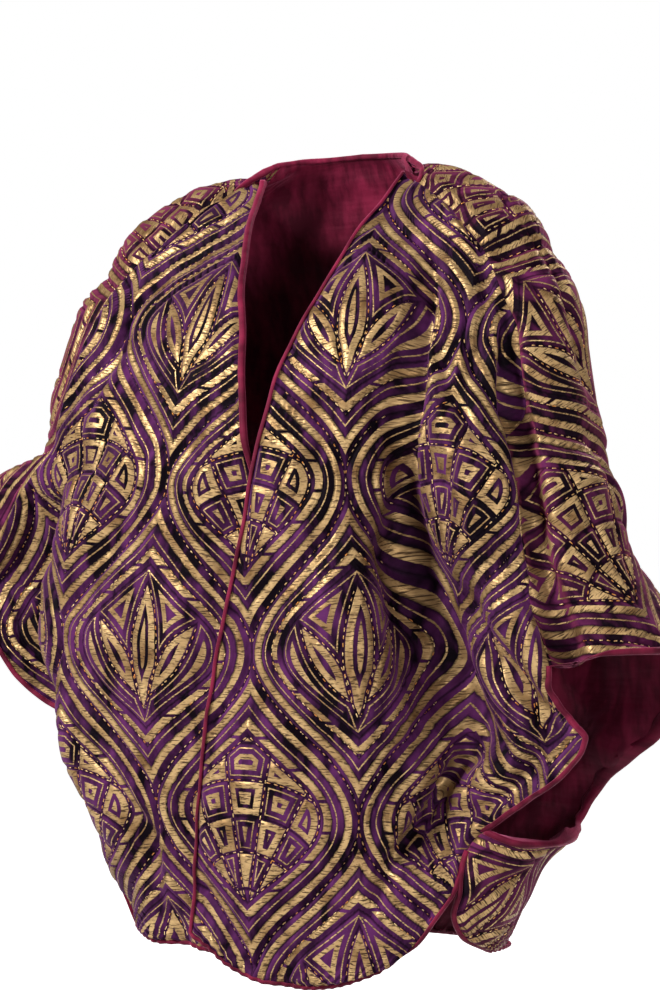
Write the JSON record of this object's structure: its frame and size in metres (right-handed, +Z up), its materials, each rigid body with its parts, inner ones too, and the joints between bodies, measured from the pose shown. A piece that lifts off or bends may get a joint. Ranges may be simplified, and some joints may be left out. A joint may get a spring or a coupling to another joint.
{
  "type": "cocoon jacket",
  "caption": "Collarless cocoon jacket of gold-stencilled purple quilted velvet with a burgundy velvet lining, wide batwing sleeves, lapped fronts and curved hem, in its worn shape.",
  "frame": {"origin": "base of the neck, midway between the shoulders, at the height of the shoulder tops: the place where the wearer carries the jacket", "axes": "+X to the wearer's left, along the longest extent; +Y to the wearer's back, along the shortest extent; +Z up"},
  "size_m": [0.8873, 0.3038, 0.8449],
  "materials": {
    "velvet": "deep purple panne velvet, quilted, stencilled in soft metallic gold",
    "lining": "burgundy velvet with a soft sheen"
  },
  "bodies": {
    "root": {"back": "velvet", "front_left": "velvet", "front_right": "velvet", "lining_back": "lining", "lining_front_left": "lining", "lining_front_right": "lining"}
  },
  "joints": []
}
